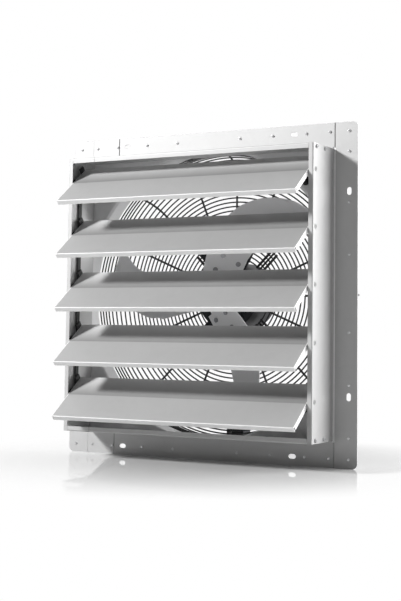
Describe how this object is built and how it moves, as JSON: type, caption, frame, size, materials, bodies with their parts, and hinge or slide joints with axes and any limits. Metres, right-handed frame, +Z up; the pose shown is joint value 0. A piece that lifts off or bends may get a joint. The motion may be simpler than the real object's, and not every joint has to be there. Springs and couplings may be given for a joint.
{
  "type": "shutter exhaust fan",
  "caption": "Square wall exhaust fan: flanged sheet-metal box with linked tilting louvres in front, a bladed wheel and motor in an orifice panel, and a wire guard behind.",
  "frame": {"origin": "centre of the wall flange, on its front face, which bears on the wall", "axes": "+Z up, -Y out through the shutter, +Y back through the fan and motor, +X to the right as seen from the shutter side"},
  "size_m": [0.6, 0.2967, 0.6],
  "materials": {
    "galvanised_sheet": "satin zinc-coated sheet",
    "louvre_aluminium": "satin mill-finish aluminium",
    "fan_aluminium": "satin pressed aluminium",
    "guard_wire": "black powder coat",
    "zinc_fasteners": "bright zinc",
    "black_fasteners": "black oxide",
    "washer_rubber": "black moulded rubber",
    "black_nylon": "black moulded nylon",
    "pale_nylon": "pale moulded nylon",
    "motor_enamel": "dark enamel",
    "core_steel": "stacked laminations",
    "winding_copper": "lacquered copper wire",
    "bright_steel": "ground steel"
  },
  "bodies": {
    "frame": {"right_wall": "galvanised_sheet", "left_wall": "galvanised_sheet", "top_rail_long": "galvanised_sheet", "top_rail_short": "galvanised_sheet", "bottom_rail_long": "galvanised_sheet", "bottom_rail_short": "galvanised_sheet", "orifice_panel": "galvanised_sheet", "flange_rivets": "zinc_fasteners", "wall_screws": "zinc_fasteners", "pivot_bushes": "pale_nylon", "guard_ribs": "guard_wire", "guard_back_rings": "guard_wire", "guard_side_rings": "guard_wire", "guard_base_ring": "guard_wire", "guard_feet": "guard_wire", "guard_stays": "guard_wire", "guard_bolts": "black_fasteners", "guard_washers": "washer_rubber", "guard_nuts": "zinc_fasteners", "motor_bracket": "motor_enamel", "motor_screws": "zinc_fasteners", "motor_shell": "motor_enamel", "motor_front_bell": "motor_enamel", "motor_rear_bell": "motor_enamel", "stator_core": "core_steel", "stator_coils": "winding_copper", "front_bearing": "bright_steel", "rear_bearing": "bright_steel", "junction_box": "motor_enamel", "junction_lid": "motor_enamel", "junction_clamp": "zinc_fasteners", "junction_screws": "zinc_fasteners", "motor_conduit": "black_nylon", "cable_gland": "black_nylon"},
    "louvre_1": {"louvre_1": "louvre_aluminium", "louvre_1_crank": "black_nylon", "louvre_1_stub": "black_nylon"},
    "louvre_2": {"louvre_2": "louvre_aluminium", "louvre_2_crank": "black_nylon", "louvre_2_stub": "black_nylon"},
    "louvre_3": {"louvre_3": "louvre_aluminium", "louvre_3_crank": "black_nylon", "louvre_3_stub": "black_nylon"},
    "louvre_4": {"louvre_4": "louvre_aluminium", "louvre_4_crank": "black_nylon", "louvre_4_stub": "black_nylon"},
    "louvre_5": {"louvre_5": "louvre_aluminium", "louvre_5_crank": "black_nylon", "louvre_5_stub": "black_nylon"},
    "tie_bar": {"tie_bar": "black_nylon"},
    "fan": {"fan_shaft": "bright_steel", "rotor_core": "core_steel", "fan_hub": "fan_aluminium", "fan_blade_1": "fan_aluminium", "fan_blade_2": "fan_aluminium", "fan_blade_3": "fan_aluminium", "blade_rivets": "fan_aluminium", "hub_nut": "bright_steel"}
  },
  "joints": [
    {"name": "louvre_1_tilt", "type": "hinge", "parent": "frame", "child": "louvre_1", "pos_m": [0, -0.0734, 0.2096], "axis": [1, 0, 0], "range_deg": [-25, 38]},
    {"name": "louvre_2_tilt", "type": "hinge", "parent": "frame", "child": "louvre_2", "pos_m": [0, -0.0734, 0.1112], "axis": [1, 0, 0], "range_deg": [-25, 38]},
    {"name": "louvre_3_tilt", "type": "hinge", "parent": "frame", "child": "louvre_3", "pos_m": [0, -0.0734, 0.0128], "axis": [1, 0, 0], "range_deg": [-25, 38]},
    {"name": "louvre_4_tilt", "type": "hinge", "parent": "frame", "child": "louvre_4", "pos_m": [0, -0.0734, -0.0856], "axis": [1, 0, 0], "range_deg": [-25, 38]},
    {"name": "louvre_5_tilt", "type": "hinge", "parent": "frame", "child": "louvre_5", "pos_m": [0, -0.0734, -0.184], "axis": [1, 0, 0], "range_deg": [-25, 38]},
    {"name": "tie_bar_pin", "type": "hinge", "parent": "louvre_1", "child": "tie_bar", "pos_m": [-0.25, -0.05085, 0.21781], "axis": [1, 0, 0], "range_deg": [-38, 25]},
    {"name": "fan_spin", "type": "hinge", "parent": "frame", "child": "fan", "pos_m": [0, 0.02, 0], "axis": [0, 1, 0], "continuous": true}
  ],
  "couplings": [
    {"joint": "louvre_2_tilt", "follows": "louvre_1_tilt", "ratio": 1},
    {"joint": "louvre_3_tilt", "follows": "louvre_1_tilt", "ratio": 1},
    {"joint": "louvre_4_tilt", "follows": "louvre_1_tilt", "ratio": 1},
    {"joint": "louvre_5_tilt", "follows": "louvre_1_tilt", "ratio": 1},
    {"joint": "tie_bar_pin", "follows": "louvre_1_tilt", "ratio": -1}
  ]
}
